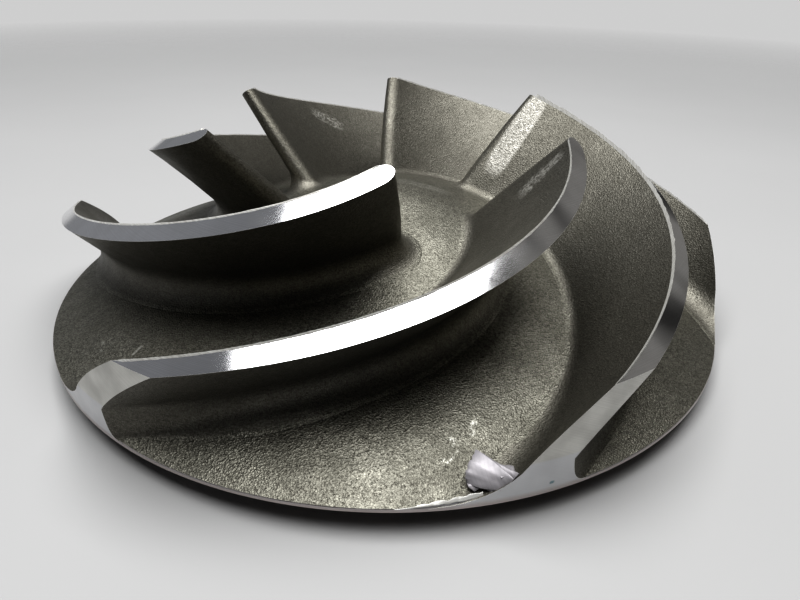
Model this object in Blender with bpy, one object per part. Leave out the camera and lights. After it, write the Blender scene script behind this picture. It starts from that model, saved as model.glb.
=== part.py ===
"""Semi-open mixed-flow pump impeller: a hub with a closed nose, a conical back disc and six leaning vanes."""

import math

import bmesh
import bpy
from mathutils import Matrix, Vector

# Overall sizes in metres. Heights are above the back face of the hub, on which the casting stands.
OUTER_RADIUS = 0.159
RIM_UNDERSIDE = 0.009
SEAT_GAP = 0.0003
TURNED_SEGMENTS = 72

# Upper surface of hub and back disc: (radius, height above the rim's underside) from the nose to the rim.
HUB_SURFACE = [(0.0, 0.0515), (0.0452, 0.0418), (0.0800, 0.0277), (0.1113, 0.0180), (0.1352, 0.0108), (0.1590, 0.0016)]

# Hub and its blind shaft bore, open at the back.
HUB_RADIUS = 0.040
BORE_RADIUS = 0.019
BORE_DEPTH = 0.045
BORE_CHAMFER = 0.0015
KEYWAY_WIDTH = 0.010
KEYWAY_DEPTH = 0.0033
HUB_EDGE_CHAMFER = 0.0015

# Underside of the back disc: a flat turned ring at the rim and a cored hollow inside it.
RIM_RING_INNER = 0.137
CORE_EDGE_RADIUS = 0.131
WALL_AT_CORE_EDGE = 0.0072
WALL_AT_HUB = 0.0120

# Vanes. Angles are in degrees from the tip of the vane's leading edge, and a vane sweeps clockwise seen from above.
VANE_COUNT = 6
FIRST_VANE_ANGLE = 90.9
ROOT_START = (0.0453, 5.0)
ROOT_WRAP = -87.2
TIP_WRAP = [(0.0854, 0.0), (0.1105, -30.3), (0.1342, -62.1), (0.1577, -91.4)]
OUTLET_BOW = -1.5
TIP_THICKNESS = 0.0076
TIP_THICKNESS_AT_OUTLET = 0.0064
TIP_THINS_FROM = 0.75
ROOT_THICKNESS = 0.0102
NOSE_LENGTH = 0.0060

# Turned envelope of the vanes: a cone over the tips and a slightly tapered outer diameter.
CONE_INNER = (0.0870, 0.0851)
CONE_OUTER = (0.1576, 0.0367)
STRAIGHT_EDGE_HEIGHT = 0.0143

# Resolution of the vane surfaces.
VANE_STATIONS = 24
VANE_LEVELS = [0.0, 0.25, 0.5, 0.75, 1.06]
STOCK_BEYOND_OUTLET = 1.05


def clear_scene():
    for item in list(bpy.data.objects):
        bpy.data.objects.remove(item, do_unlink=True)


def make_material(name, colour, roughness, metallic):
    material = bpy.data.materials.new(name)
    material.use_nodes = True
    shader = material.node_tree.nodes["Principled BSDF"]
    shader.inputs["Base Color"].default_value = (*colour, 1.0)
    shader.inputs["Roughness"].default_value = roughness
    shader.inputs["Metallic"].default_value = metallic
    return material


def lerp(start, end, share):
    return start + (end - start) * share


def curve_through(stations, x):
    """Value at x of the polynomial that passes through every (x, value) station."""
    total = 0.0
    for i, (xi, value) in enumerate(stations):
        weight = 1.0
        for j, (xj, _) in enumerate(stations):
            if i != j:
                weight *= (x - xj) / (xi - xj)
        total += value * weight
    return total


def surface_slopes():
    """Slope of the hub surface at each of its stations, level at the nose."""
    slopes = [0.0]
    for before, after in zip(HUB_SURFACE, HUB_SURFACE[2:]):
        slopes.append((after[1] - before[1]) / (after[0] - before[0]))
    last, rim = HUB_SURFACE[-2:]
    slopes.append((rim[1] - last[1]) / (rim[0] - last[0]))
    return slopes


def hub_height(radius):
    """Height of the hub surface at a radius, as a smooth curve through its stations."""
    slopes = surface_slopes()
    rim_radius, rim_height = HUB_SURFACE[-1]
    if radius >= rim_radius:
        return RIM_UNDERSIDE + rim_height + slopes[-1] * (radius - rim_radius)
    index = max(i for i, (r, _) in enumerate(HUB_SURFACE[:-1]) if r <= radius)
    (r0, h0), (r1, h1) = HUB_SURFACE[index], HUB_SURFACE[index + 1]
    span = r1 - r0
    t = (radius - r0) / span
    height = (2 * t**3 - 3 * t**2 + 1) * h0 + (3 * t**2 - 2 * t**3) * h1
    height += (t**3 - 2 * t**2 + t) * span * slopes[index] + (t**3 - t**2) * span * slopes[index + 1]
    return RIM_UNDERSIDE + height


def cone_height(radius):
    """Height of the turned cone over the vane tips at a radius."""
    (inner_radius, inner_height), (outer_radius, outer_height) = CONE_INNER, CONE_OUTER
    share = (radius - inner_radius) / (outer_radius - inner_radius)
    return RIM_UNDERSIDE + lerp(inner_height, outer_height, share)


def object_from(bm, name, material, smooth=True):
    """Object made from a finished bmesh, with its faces turned outwards."""
    bmesh.ops.recalc_face_normals(bm, faces=bm.faces)
    mesh = bpy.data.meshes.new(name)
    bm.to_mesh(mesh)
    bm.free()
    if smooth:
        mesh.shade_smooth()
        mesh.set_sharp_from_angle(angle=math.radians(35))
    piece = bpy.data.objects.new(name, mesh)
    bpy.context.collection.objects.link(piece)
    if material:
        piece.data.materials.append(material)
    return piece


def turned(name, outline, material, segments=TURNED_SEGMENTS):
    """Solid turned about the Z axis from a closed outline of (radius, height) points."""
    bm = bmesh.new()
    corners = [bm.verts.new((radius, 0.0, height)) for radius, height in outline]
    on_axis = [radius == 0.0 for radius, _ in outline]
    edges = []
    for i, corner in enumerate(corners):
        j = (i + 1) % len(corners)
        if not (on_axis[i] and on_axis[j]):
            edges.append(bm.edges.new((corner, corners[j])))
    bmesh.ops.spin(
        bm, geom=edges, cent=(0, 0, 0), axis=(0, 0, 1), angle=math.tau, steps=segments, use_merge=True
    )
    bmesh.ops.remove_doubles(bm, verts=bm.verts, dist=1e-6)
    return object_from(bm, name, material)


def subtract(piece, cutter):
    cut = piece.modifiers.new(cutter.name, "BOOLEAN")
    cut.object = cutter
    cut.operation = "DIFFERENCE"
    hide_cutter(cutter)


def hide_cutter(cutter):
    cutter.hide_render = True
    cutter.display_type = "WIRE"


def surface_outline(inner, outer, steps):
    """Points along the hub surface between two radii, inner one first."""
    radii = [lerp(inner, outer, i / steps) for i in range(steps + 1)]
    return [(radius, hub_height(radius)) for radius in radii]


def make_hub(material):
    """Closed nose and boss in one turned solid, with the keyed bore open at the back."""
    side = HUB_RADIUS - SEAT_GAP
    outline = surface_outline(0.0, side, 6)
    outline += [(side, HUB_EDGE_CHAMFER), (side - HUB_EDGE_CHAMFER, 0.0)]
    outline += [(BORE_RADIUS + BORE_CHAMFER, 0.0), (BORE_RADIUS, BORE_CHAMFER)]
    outline += [(BORE_RADIUS, BORE_DEPTH), (0.0, BORE_DEPTH)]
    hub = turned("hub", outline, material)

    bm = bmesh.new()
    keyway_top = BORE_RADIUS + KEYWAY_DEPTH
    size = Matrix.Diagonal((KEYWAY_WIDTH, keyway_top, BORE_DEPTH, 1.0))
    place = Matrix.Translation((0.0, keyway_top / 2, BORE_DEPTH / 2 - BORE_CHAMFER))
    bmesh.ops.create_cube(bm, size=1.0, matrix=place @ size)
    subtract(hub, object_from(bm, "keyway_cutter", None, smooth=False))
    return hub


def make_back_disc(material):
    """Conical back disc with a thin turned rim and a cored underside."""
    steps = 12
    outline = surface_outline(HUB_RADIUS, OUTER_RADIUS, steps)
    outline += [(OUTER_RADIUS, RIM_UNDERSIDE), (RIM_RING_INNER, RIM_UNDERSIDE)]
    for i in range(steps - 2):
        radius = lerp(CORE_EDGE_RADIUS, HUB_RADIUS, i / (steps - 3))
        wall = lerp(WALL_AT_CORE_EDGE, WALL_AT_HUB, i / (steps - 3))
        outline.append((radius, hub_height(radius) - wall))
    return turned("back_disc", outline, material)


def vane_middle(along, up):
    """Point of the vane's middle surface: along runs from inlet to outlet, up from the root to the tip."""
    root_radius = lerp(ROOT_START[0], OUTER_RADIUS, along)
    tip_radius = lerp(TIP_WRAP[0][0], TIP_WRAP[-1][0], along)
    root_angle = ROOT_START[1] + ROOT_WRAP * math.log(root_radius / ROOT_START[0])
    tip_angle = curve_through(TIP_WRAP, tip_radius)
    bow = OUTLET_BOW * along * 4 * up * (1 - up)
    angle = math.radians(lerp(root_angle, tip_angle, up) + bow)
    radius = lerp(root_radius, tip_radius, up)
    return Vector((radius * math.cos(angle), radius * math.sin(angle), lerp(hub_height(root_radius), cone_height(tip_radius), up)))


def vane_normal(along, up):
    """Unit normal of the middle surface, towards the convex side."""
    step = 0.002
    run = vane_middle(along + step, up) - vane_middle(along - step, up)
    rise = vane_middle(along, up + step) - vane_middle(along, up - step)
    return rise.cross(run).normalized()


def half_thickness(distance, along, up):
    """Half of the wall at a distance behind the rounded leading edge. The tip gets thinner over the last quarter."""
    thinning = max(0.0, (min(along, 1.0) - TIP_THINS_FROM) / (1.0 - TIP_THINS_FROM))
    tip = lerp(TIP_THICKNESS, TIP_THICKNESS_AT_OUTLET, thinning)
    full = lerp(ROOT_THICKNESS, tip, min(up, 1.0)) / 2
    if distance >= NOSE_LENGTH:
        return full
    return full * math.sqrt(1.0 - (1.0 - distance / NOSE_LENGTH) ** 2)


def vane_stations():
    """Shares of the vane's length, closer together round the leading edge."""
    nose = [0.0, 0.004, 0.015, 0.033]
    rest = [lerp(0.06, STOCK_BEYOND_OUTLET, i / (VANE_STATIONS - 5)) for i in range(VANE_STATIONS - 4)]
    return nose + rest


def vane_loop(up):
    """Points round the vane at one level: convex side from outlet to inlet, then the concave side back."""
    convex = []
    concave = []
    start = vane_middle(0.0, up)
    for along in vane_stations():
        middle = vane_middle(along, up)
        offset = vane_normal(along, up) * half_thickness((middle - start).length, along, up)
        convex.append(middle + offset)
        concave.append(middle - offset)
    points = list(reversed(convex)) + concave[1:]
    if up == 0.0:
        for point in points:
            point.z = hub_height(math.hypot(point.x, point.y)) + SEAT_GAP
    return points


def make_envelope():
    """Turned solid that gives the tips their cone and the outlets their outer diameter."""
    outline = [
        (0.0, 0.0),
        (OUTER_RADIUS, 0.0),
        (OUTER_RADIUS, RIM_UNDERSIDE + STRAIGHT_EDGE_HEIGHT),
        (CONE_OUTER[0], cone_height(CONE_OUTER[0])),
        (0.0, cone_height(0.0)),
    ]
    envelope = turned("turning_envelope", outline, None, segments=TURNED_SEGMENTS * 2)
    hide_cutter(envelope)
    return envelope


def make_vane(number, envelope, material):
    bm = bmesh.new()
    loops = [[bm.verts.new(point) for point in vane_loop(up)] for up in VANE_LEVELS]
    count = len(loops[0])
    for lower, upper in zip(loops, loops[1:]):
        for i in range(count):
            j = (i + 1) % count
            bm.faces.new((lower[i], lower[j], upper[j], upper[i]))
    for loop in (loops[0], loops[-1]):
        for i in range((count - 1) // 2):
            ring = (loop[i], loop[i + 1], loop[count - 2 - i], loop[count - 1 - i])
            bm.faces.new(tuple(dict.fromkeys(ring)))
    turn = FIRST_VANE_ANGLE - (number - 1) * 360.0 / VANE_COUNT
    bmesh.ops.rotate(bm, verts=bm.verts, matrix=Matrix.Rotation(math.radians(turn), 3, "Z"))
    vane = object_from(bm, f"vane_{number}", material)
    trim = vane.modifiers.new("turned tip and outlet", "BOOLEAN")
    trim.object = envelope
    trim.operation = "INTERSECT"
    return vane


def build():
    clear_scene()
    make_hub(make_material("hub casting", (0.30, 0.29, 0.25), 0.65, 0.6))
    make_back_disc(make_material("disc casting", (0.30, 0.29, 0.25), 0.70, 0.6))
    envelope = make_envelope()
    for number in range(1, VANE_COUNT + 1):
        make_vane(number, envelope, make_material(f"vane casting {number}", (0.26, 0.25, 0.22), 0.55, 0.6))


build()
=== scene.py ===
import math

import bpy
from mathutils import Matrix, Vector, noise


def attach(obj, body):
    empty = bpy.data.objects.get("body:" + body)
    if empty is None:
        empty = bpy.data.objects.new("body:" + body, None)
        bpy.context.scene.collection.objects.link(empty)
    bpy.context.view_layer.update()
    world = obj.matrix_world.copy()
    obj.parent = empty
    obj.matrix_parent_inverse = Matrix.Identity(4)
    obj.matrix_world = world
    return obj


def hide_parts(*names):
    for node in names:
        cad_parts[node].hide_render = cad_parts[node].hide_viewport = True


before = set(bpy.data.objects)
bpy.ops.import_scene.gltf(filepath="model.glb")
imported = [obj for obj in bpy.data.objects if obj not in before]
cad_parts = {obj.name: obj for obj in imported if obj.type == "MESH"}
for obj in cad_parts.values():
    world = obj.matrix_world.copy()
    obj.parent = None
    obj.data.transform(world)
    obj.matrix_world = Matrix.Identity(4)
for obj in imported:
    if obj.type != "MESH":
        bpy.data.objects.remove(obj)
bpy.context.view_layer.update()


def editMode():
    bpy.ops.object.mode_set(mode="EDIT")


def objectMode():
    bpy.ops.object.mode_set(mode="OBJECT")


def deselectAll():
    if bpy.context.object and bpy.context.object.mode != "OBJECT":
        objectMode()
    bpy.ops.object.select_all(action="DESELECT")


def makeActive(piece):
    deselectAll()
    piece.select_set(True)
    bpy.context.view_layer.objects.active = piece


def nameActive(name):
    piece = bpy.context.object
    piece.name = name
    piece.data.name = name
    return piece


def selectByPlace(piece, test):
    # picks vertices by their place and leaves the piece in edit mode
    makeActive(piece)
    editMode()
    bpy.ops.mesh.select_mode(type="VERT")
    bpy.ops.mesh.select_all(action="DESELECT")
    objectMode()
    for vertex in piece.data.vertices:
        vertex.select = test(vertex.co)
    editMode()


def weld(distance):
    # joins points that lie together and turns all faces outwards
    bpy.ops.mesh.select_all(action="SELECT")
    bpy.ops.mesh.remove_doubles(threshold=distance)
    bpy.ops.mesh.normals_make_consistent(inside=False)


def paintFaces(piece, choose):
    # gives every face the material slot that its middle asks for
    for face in piece.data.polygons:
        face.material_index = choose(face.center, face.normal)


def lerp(start, end, share):
    return start + (end - start) * share


def smoothStep(low, high, value):
    t = min(max((value - low) / (high - low), 0.0), 1.0)
    return t * t * (3 - 2 * t)


def radiusOf(p):
    return math.hypot(p.x, p.y)


def angleOf(p):
    return math.atan2(p.y, p.x)


def aroundAxis(radius, angle, height):
    return Vector((radius * math.cos(angle), radius * math.sin(angle), height))


def solve(function, low, high, rounds=20):
    # place between low and high where a rising function passes zero
    for _ in range(rounds):
        middle = (low + high) / 2
        if function(middle) < 0:
            low = middle
        else:
            high = middle
    return (low + high) / 2


# the casting's own sizes in metres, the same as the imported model's
casting = {
    "outerRadius": 0.159,
    "rimUnderside": 0.009,
    # radius, and height over the rim's underside, of the smooth surface between the vanes
    "surface": [
        (0.0, 0.0515), (0.0452, 0.0418), (0.0800, 0.0277), (0.1113, 0.0180), (0.1352, 0.0108), (0.1590, 0.0016),
    ],
    "coneInner": (0.0870, 0.0851),
    "coneOuter": (0.1576, 0.0367),
    "straightEdge": 0.0143,  # height of the straight part of the turned outer edge
    "segments": 240,
    "unevenness": 0.00034,  # waves left by the sand mould
    "waveSize": 0.011,
}


def surfaceSlopes():
    stations = casting["surface"]
    slopes = [0.0]
    for before, after in zip(stations, stations[2:]):
        slopes.append((after[1] - before[1]) / (after[0] - before[0]))
    slopes.append((stations[-1][1] - stations[-2][1]) / (stations[-1][0] - stations[-2][0]))
    return slopes


slopes = surfaceSlopes()


def hubHeight(radius):
    # height of the smooth surface between the vanes
    stations = casting["surface"]
    if radius >= stations[-1][0]:
        return casting["rimUnderside"] + stations[-1][1] + slopes[-1] * (radius - stations[-1][0])
    index = max(i for i, (r, _) in enumerate(stations[:-1]) if r <= radius)
    (r0, h0), (r1, h1) = stations[index], stations[index + 1]
    span = r1 - r0
    t = (radius - r0) / span
    height = (2 * t**3 - 3 * t**2 + 1) * h0 + (3 * t**2 - 2 * t**3) * h1
    height += (t**3 - 2 * t**2 + t) * span * slopes[index] + (t**3 - t**2) * span * slopes[index + 1]
    return casting["rimUnderside"] + height


def hubNormal(radius, angle):
    slope = (hubHeight(radius + 0.0005) - hubHeight(max(radius - 0.0005, 0.0))) / 0.001
    return Vector((-slope * math.cos(angle), -slope * math.sin(angle), 1.0)).normalized()


def coneHeight(radius):
    # turned cone over the vane tips
    (r0, h0), (r1, h1) = casting["coneInner"], casting["coneOuter"]
    return casting["rimUnderside"] + h0 + (h1 - h0) / (r1 - r0) * (radius - r0)


def aboveSurface(p):
    return p.z - hubHeight(radiusOf(p))


def aboveCone(p):
    return p.z - coneHeight(radiusOf(p))


def edgeRadius(height):
    # turned outer edge of the vanes, straight at the foot and slightly tapered above it
    level = height - casting["rimUnderside"]
    r1, h1 = casting["coneOuter"]
    share = max(0.0, (level - casting["straightEdge"]) / (h1 - casting["straightEdge"]))
    return lerp(casting["outerRadius"] + 0.00005, r1, share)


def rimFade(radius):
    # the mould's waves stop where the outer edge is turned
    return smoothStep(0.0, 0.003, casting["outerRadius"] - radius)


def roughen(piece, weight, direction):
    # slow waves of a sand casting, the same in every piece because they follow the object's own place
    group = piece.vertex_groups.new(name="castFaces")
    for vertex in piece.data.vertices:
        group.add([vertex.index], weight(vertex.co), "REPLACE")
    wave = piece.modifiers.new("castWaves", "DISPLACE")
    wave.texture = castWaves
    wave.texture_coords = "GLOBAL"
    wave.direction = direction
    wave.strength = casting["unevenness"]
    wave.mid_level = 0.5
    wave.vertex_group = group.name
    makeActive(piece)
    bpy.ops.object.modifier_apply(modifier=wave.name)
    piece.vertex_groups.clear()


castWaves = bpy.data.textures.new("castWaves", "CLOUDS")
castWaves.noise_scale = casting["waveSize"]
castWaves.noise_depth = 2


def feed(tree, socket, value):
    # value is another node's output, or what is set on the socket itself
    if hasattr(value, "node"):
        tree.links.new(value, socket)
    elif value is not None:
        socket.default_value = value


def addNode(tree, kind, place, inputs=None, **settings):
    node = tree.nodes.new(kind)
    node.location = place
    for name, value in settings.items():
        setattr(node, name, value)
    for label, value in (inputs or {}).items():
        feed(tree, node.inputs[label], value)
    return node


def newGroup(name, inputs, outputs):
    group = bpy.data.node_groups.new(name, "ShaderNodeTree")
    for label, value in inputs:
        kind = "NodeSocketVector" if isinstance(value, tuple) else "NodeSocketFloat"
        socket = group.interface.new_socket(name=label, in_out="INPUT", socket_type=kind)
        socket.default_value = value
    for label in outputs:
        kind = "NodeSocketVector" if label == "Normal" else "NodeSocketFloat"
        group.interface.new_socket(name=label, in_out="OUTPUT", socket_type=kind)
    addNode(group, "NodeGroupInput", (-900, 0))
    addNode(group, "NodeGroupOutput", (900, 0))
    return group


def groupEnds(group):
    return group.nodes["Group Input"], group.nodes["Group Output"]


def calculate(tree, operation, first, second, place, clamp=False):
    # one Math node; first and second are sockets or numbers
    inputs = {0: first, 1: second}
    return addNode(tree, "ShaderNodeMath", place, inputs, operation=operation, use_clamp=clamp).outputs[0]


def remap(tree, value, fromLow, fromHigh, toLow, toHigh, place, kind="LINEAR"):
    inputs = {"Value": value, "From Min": fromLow, "From Max": fromHigh, "To Min": toLow, "To Max": toHigh}
    return addNode(tree, "ShaderNodeMapRange", place, inputs, interpolation_type=kind).outputs["Result"]


def mixColours(tree, factor, first, second, place):
    node = addNode(tree, "ShaderNodeMix", place, {"Factor": factor}, data_type="RGBA")
    for label, value in (("A", first), ("B", second)):
        socket = [s for s in node.inputs if s.name == label and s.type == "RGBA"][0]
        feed(tree, socket, value if hasattr(value, "node") else (*value, 1.0))
    return [s for s in node.outputs if s.type == "RGBA"][0]


def objectPlace(tree, place):
    return addNode(tree, "ShaderNodeTexCoord", place).outputs["Object"]


def addNoise(tree, vector, scale, detail, place, roughness=0.5):
    inputs = {"Vector": vector, "Scale": scale, "Detail": detail, "Roughness": roughness}
    return addNode(tree, "ShaderNodeTexNoise", place, inputs).outputs["Fac"]


pattern = {
    # how fine each pattern is, in marks to the metre
    "dents": 1500,
    "fine": 2300,
    "lumps": 330,
    "stains": 38,
    "flakes": 650,
    "smears": 90,
    # how high the grain and the tool lines stand, in metres
    "grainHeight": 0.0005,
    "lineHeight": 0.00003,
}


def makeBlastedGroup():
    # grain of a shot-blasted casting: tiny dents of even size, larger lumps and slow stains
    group = newGroup(
        "blastedGrain",
        [("Grain Size", 1.0), ("Depth", 1.0), ("Lumps", 0.4)],
        ["Speckle", "Stain", "Normal"],
    )
    start, end = groupEnds(group)
    place = objectPlace(group, (-900, 300))
    inputs = {0: place, 1: start.outputs["Grain Size"]}
    scaled = addNode(group, "ShaderNodeVectorMath", (-700, 300), inputs, operation="DIVIDE").outputs[0]
    dents = addNode(group, "ShaderNodeTexVoronoi", (-500, 400), {"Vector": scaled, "Scale": pattern["dents"]})
    fine = addNoise(group, scaled, pattern["fine"], 1.0, (-500, 100))
    lumps = addNoise(group, scaled, pattern["lumps"], 2.0, (-500, -200))
    stain = addNoise(group, place, pattern["stains"], 5.0, (-500, -500), roughness=0.62)
    # each dent has its own shade
    tint = addNode(group, "ShaderNodeSeparateColor", (-300, 450), {0: dents.outputs["Color"]})
    fineTint = remap(group, fine, 0.3, 0.7, 0.0, 1.0, (-300, 150))
    fineShare = calculate(group, "MULTIPLY", fineTint, 0.5, (-100, 150))
    dentShare = calculate(group, "MULTIPLY", tint.outputs[0], 0.5, (-100, 350))
    speckle = calculate(group, "ADD", fineShare, dentShare, (80, 250))
    hollow = calculate(group, "MULTIPLY", dents.outputs["Distance"], 0.55, (-300, 300))
    fineHeight = calculate(group, "MULTIPLY", fine, 0.45, (-300, 0))
    lumpHeight = calculate(group, "MULTIPLY", lumps, start.outputs["Lumps"], (-300, -200))
    height = calculate(group, "ADD", hollow, fineHeight, (80, 0))
    height = calculate(group, "ADD", height, lumpHeight, (260, 0))
    inputs = {"Height": height, "Strength": start.outputs["Depth"], "Distance": pattern["grainHeight"]}
    bump = addNode(group, "ShaderNodeBump", (500, 0), inputs)
    feed(group, end.inputs["Speckle"], speckle)
    feed(group, end.inputs["Stain"], remap(group, stain, 0.33, 0.67, 0.0, 1.0, (500, -300)))
    feed(group, end.inputs["Normal"], bump.outputs["Normal"])
    return group


def makePatchGroup():
    # a patch for scrapes, a dot and a painted highlight: the vector is centred, turned and scaled so that the
    # patch is about one long
    inputs = [("Vector", (0.0, 0.0, 0.0)), ("Soft Edge", 0.4), ("Broken", 0.5)]
    group = newGroup("patchMask", inputs, ["Mask"])
    start, end = groupEnds(group)
    inputs = {0: start.outputs["Vector"], 1: start.outputs["Vector"]}
    # squares make the patch squarer than an ellipse
    square = addNode(group, "ShaderNodeVectorMath", (-780, 100), inputs, operation="MULTIPLY")
    reach = addNode(group, "ShaderNodeVectorMath", (-620, 100), {0: square.outputs[0]}, operation="LENGTH")
    inner = calculate(group, "SUBTRACT", 1.0, start.outputs["Soft Edge"], (-650, -100))
    body = remap(group, reach.outputs["Value"], 1.0, inner, 0.0, 1.0, (-400, 100), "SMOOTHSTEP")
    place = objectPlace(group, (-900, -300))
    flakes = addNoise(group, place, pattern["flakes"], 4.0, (-650, -300), roughness=0.7)
    lower = calculate(group, "MULTIPLY", start.outputs["Broken"], 0.62, (-400, -200))
    torn = remap(group, flakes, lower, 0.66, 0.0, 1.0, (-150, -200))
    feed(group, end.inputs["Mask"], calculate(group, "MULTIPLY", body, torn, (200, 0), clamp=True))
    return group


def makeTurningGroup():
    # fine tool lines round the shaft axis, either spaced along the radius or along the height
    group = newGroup(
        "turningLines",
        [("Pitch", 0.00025), ("Along Height", 0.0), ("Slant", 0.0), ("Depth", 0.1)],
        ["Line", "Smear", "Normal"],
    )
    start, end = groupEnds(group)
    place = objectPlace(group, (-900, 300))
    x, y, z = addNode(group, "ShaderNodeSeparateXYZ", (-700, 300), {0: place}).outputs
    squareX = calculate(group, "MULTIPLY", x, x, (-520, 400))
    squareY = calculate(group, "MULTIPLY", y, y, (-520, 250))
    radius = calculate(group, "ADD", squareX, squareY, (-360, 350))
    radius = calculate(group, "SQRT", radius, None, (-200, 350))
    onRadius = calculate(group, "SUBTRACT", 1.0, start.outputs["Along Height"], (-360, 100))
    first = calculate(group, "MULTIPLY", radius, onRadius, (-40, 300))
    second = calculate(group, "MULTIPLY", z, start.outputs["Along Height"], (-40, 150))
    turn = calculate(group, "ARCTAN2", y, x, (-360, -50))
    slanted = calculate(group, "MULTIPLY", turn, radius, (-200, -50))
    slanted = calculate(group, "MULTIPLY", slanted, start.outputs["Slant"], (-40, -50))
    travel = calculate(group, "ADD", first, second, (120, 250))
    travel = calculate(group, "ADD", travel, slanted, (200, 120))
    travel = calculate(group, "DIVIDE", travel, start.outputs["Pitch"], (280, 250))
    inputs = {"W": travel, "Scale": 1.0, "Detail": 2.0}
    line = addNode(group, "ShaderNodeTexNoise", (440, 300), inputs, noise_dimensions="1D").outputs["Fac"]
    smear = addNoise(group, place, pattern["smears"], 4.0, (-500, -300))
    inputs = {"Height": line, "Strength": start.outputs["Depth"], "Distance": pattern["lineHeight"]}
    bump = addNode(group, "ShaderNodeBump", (640, 100), inputs)
    feed(group, end.inputs["Line"], line)
    feed(group, end.inputs["Smear"], remap(group, smear, 0.35, 0.65, 0.0, 1.0, (640, -200)))
    feed(group, end.inputs["Normal"], bump.outputs["Normal"])
    return group


blastedGrain = makeBlastedGroup()
patchMask = makePatchGroup()
turningLines = makeTurningGroup()


def startMaterial(name):
    material = bpy.data.materials.new(name)
    material.use_nodes = True
    return material, material.node_tree, material.node_tree.nodes["Principled BSDF"]


def placeGroup(tree, group, values, place=(-700, 0)):
    return addNode(tree, "ShaderNodeGroup", place, values, node_tree=group).outputs


def mark(first, last, width, soft, broken, strength):
    # a patch between two points of the part, in metres, with how soft, broken up and strong it is
    return {"from": first, "to": last, "width": width, "soft": soft, "broken": broken, "strength": strength}


def placePatch(tree, patch, place):
    first, last = Vector(patch["from"]), Vector(patch["to"])
    x, y = place
    half = (last - first).length / 2 + patch["width"] / 2
    inputs = {
        "Vector": objectPlace(tree, (x - 400, y)),
        "Location": (first + last) / 2,
        "Rotation": (last - first).to_track_quat("X", "Z").to_euler(),
        "Scale": (half, patch["width"] / 2, patch["width"] / 2),
    }
    mapping = addNode(tree, "ShaderNodeMapping", (x - 200, y), inputs, vector_type="TEXTURE")
    values = {"Vector": mapping.outputs["Vector"], "Soft Edge": patch["soft"], "Broken": patch["broken"]}
    mask = placeGroup(tree, patchMask, values, place)["Mask"]
    return calculate(tree, "MULTIPLY", mask, patch["strength"], (x + 200, y))


def makeCastMaterial(name, look):
    material, tree, shader = startMaterial(name)
    values = {"Grain Size": look["grainSize"], "Depth": look["grainDepth"], "Lumps": look["lumps"]}
    grain = placeGroup(tree, blastedGrain, values)
    crest = mixColours(tree, grain["Stain"], look["crest"], look["stained"], (-450, 200))
    colour = mixColours(tree, grain["Speckle"], look["pit"], crest, (-250, 200))
    rough = remap(tree, grain["Stain"], 0, 1, look["roughness"] - 0.05, look["roughness"] + 0.07, (-250, -50))
    scrapeAndHighlight = None
    for i, patch in enumerate(look["patches"]):
        mask = placePatch(tree, patch, (-900, -300 - 260 * i))
        scrapeAndHighlight = mask if scrapeAndHighlight is None else calculate(tree, "MAXIMUM", scrapeAndHighlight, mask, (-500, -300 - 260 * i))
    # colour of the scrapes and of the painted highlight, flecked by the grain
    scrapeAndHighlightColour = mixColours(tree, grain["Speckle"], look["scrapeAndHighlightDark"], look["scrapeAndHighlight"], (-450, 450))
    feed(tree, shader.inputs["Base Color"], mixColours(tree, scrapeAndHighlight, colour, scrapeAndHighlightColour, (-150, 300)))
    feed(tree, shader.inputs["Roughness"], rough)
    feed(tree, shader.inputs["Normal"], grain["Normal"])
    shader.inputs["Metallic"].default_value = look["metallic"]
    return material


def makeTurnedMaterial(name, look):
    material, tree, shader = startMaterial(name)
    values = {"Pitch": look["pitch"], "Along Height": look["alongHeight"]}
    values.update({"Slant": look["slant"], "Depth": look["lineDepth"]})
    lines = placeGroup(tree, turningLines, values)
    colour = mixColours(tree, lines["Smear"], look["bright"], look["dull"], (-500, 200))
    streak = remap(tree, lines["Line"], 0.40, 0.62, 0.0, look["streaks"], (-500, 400))
    colour = mixColours(tree, streak, colour, look["streak"], (-300, 200))
    if "foot" in look:
        # the lower part of the turned edge, below the crease where its slope breaks, gets a cooler colour: a
        # painted reflection change for the crease
        parts = addNode(tree, "ShaderNodeSeparateXYZ", (-700, 700), {0: objectPlace(tree, (-900, 700))})
        low = remap(tree, parts.outputs["Z"], *look["footFade"], 0.0, 0.75, (-500, 700))
        colour = mixColours(tree, low, colour, look["foot"], (-150, 400))
        rust = remap(tree, parts.outputs["Z"], *look["rustFade"], 0.0, 0.55, (-500, 900))
        colour = mixColours(tree, rust, colour, look["rust"], (0, 500))
        dot = placePatch(tree, look["dot"], (-900, 1200))
        colour = mixColours(tree, dot, colour, look["dotColour"], (100, 600))
    rough = remap(tree, lines["Smear"], 0, 1, look["roughness"] * 0.8, look["roughness"] * 1.25, (-300, -50))
    feed(tree, shader.inputs["Base Color"], colour)
    feed(tree, shader.inputs["Roughness"], rough)
    feed(tree, shader.inputs["Normal"], lines["Normal"])
    shader.inputs["Metallic"].default_value = look["metallic"]
    return material


# scrapes and rubbed spots, and a painted highlight along the second vane's nose
discMarks = [
    mark((0.0304, -0.1285, 0.0208), (0.0286, -0.1338, 0.0192), 0.0026, 0.5, 0.75, 0.9),
    mark((0.0222, -0.1362, 0.0187), (0.0232, -0.1402, 0.0172), 0.0032, 0.6, 0.8, 0.9),
    mark((0.0232, -0.1405, 0.0170), (0.0190, -0.1442, 0.0159), 0.0030, 0.6, 0.85, 0.8),
    mark((-0.0997, -0.0906, 0.0199), (-0.0972, -0.0867, 0.0213), 0.0014, 0.4, 0.3, 0.8),
    mark((-0.1165, -0.0790, 0.0178), (-0.1159, -0.0800, 0.0177), 0.0014, 0.6, 0.3, 0.35),
    mark((-0.1157, -0.0835, 0.0171), (-0.1149, -0.0847, 0.0170), 0.0014, 0.6, 0.3, 0.35),
    mark((0.0050, 0.0060, 0.0598), (0.0277, 0.0018, 0.0559), 0.0110, 0.9, 0.2, 0.22),
]
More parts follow.
